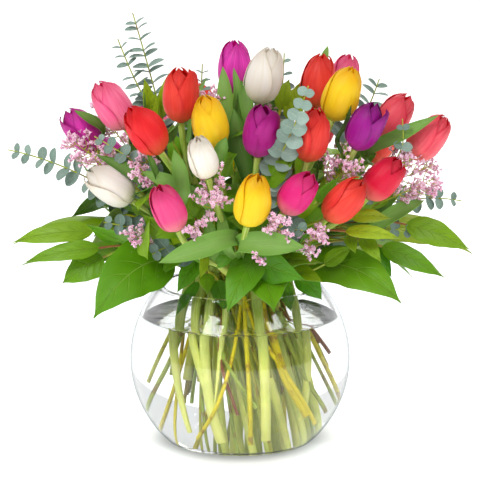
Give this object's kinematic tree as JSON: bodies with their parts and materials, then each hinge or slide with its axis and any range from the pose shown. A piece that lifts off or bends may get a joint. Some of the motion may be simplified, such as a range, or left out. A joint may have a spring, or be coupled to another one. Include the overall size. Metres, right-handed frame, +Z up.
{
  "type": "tulips in a vase",
  "caption": "Domed bouquet of mixed-colour tulips with broad glossy leaves, eucalyptus and sea lavender, standing in a round clear glass bowl vase.",
  "frame": {"origin": "centre of the vase's flat base, on the surface that it stands on", "axes": "+Z up; -Y towards the front of the bouquet; +X to the right as seen from the front"},
  "size_m": [0.474, 0.372, 0.436],
  "materials": {
    "coral_petal": "satin",
    "eucalyptus": "matte",
    "glass": "polished",
    "magenta_petal": "satin",
    "pink_petal": "satin",
    "purple_petal": "satin",
    "red_petal": "satin",
    "salal_leaf": "satin",
    "sea_lavender": "matte",
    "stem_green": "satin",
    "white_petal": "satin",
    "yellow_petal": "satin"
  },
  "bodies": {
    "root": {"bloom_coral_far_right": "coral_petal", "bloom_coral_left": "pink_petal", "bloom_coral_right": "coral_petal", "bloom_crimson_right": "coral_petal", "bloom_magenta_left": "magenta_petal", "bloom_magenta_middle": "magenta_petal", "bloom_magenta_top": "magenta_petal", "bloom_pink_back": "pink_petal", "bloom_pink_front_left": "pink_petal", "bloom_pink_front_right": "pink_petal", "bloom_purple_right": "purple_petal", "bloom_red_front_right": "red_petal", "bloom_red_left": "red_petal", "bloom_red_left_high": "red_petal", "bloom_red_middle": "red_petal", "bloom_red_top": "red_petal", "bloom_white_left": "white_petal", "bloom_white_small": "white_petal", "bloom_white_top": "white_petal", "bloom_yellow_front": "yellow_petal", "bloom_yellow_left": "yellow_petal", "bloom_yellow_right": "yellow_petal", "eucalyptus_left": "eucalyptus", "eucalyptus_right": "eucalyptus", "eucalyptus_top_left": "eucalyptus", "salal_leaf_back": "salal_leaf", "salal_leaf_back_left": "salal_leaf", "salal_leaf_back_right": "salal_leaf", "salal_leaf_far_left": "salal_leaf", "salal_leaf_far_right": "salal_leaf", "salal_leaf_front": "salal_leaf", "salal_leaf_front_left": "salal_leaf", "salal_leaf_front_right": "salal_leaf", "salal_leaf_left": "salal_leaf", "salal_leaf_right": "salal_leaf", "sea_lavender_left": "sea_lavender", "sea_lavender_right": "sea_lavender", "stem_coral_far_right": "stem_green", "stem_coral_left": "stem_green", "stem_coral_right": "stem_green", "stem_crimson_right": "stem_green", "stem_magenta_left": "stem_green", "stem_magenta_middle": "stem_green", "stem_magenta_top": "stem_green", "stem_pink_back": "stem_green", "stem_pink_front_left": "stem_green", "stem_pink_front_right": "stem_green", "stem_purple_right": "stem_green", "stem_red_front_right": "stem_green", "stem_red_left": "stem_green", "stem_red_left_high": "stem_green", "stem_red_middle": "stem_green", "stem_red_top": "stem_green", "stem_white_left": "stem_green", "stem_white_small": "stem_green", "stem_white_top": "stem_green", "stem_yellow_front": "stem_green", "stem_yellow_left": "stem_green", "stem_yellow_right": "stem_green", "vase": "glass"}
  },
  "joints": []
}
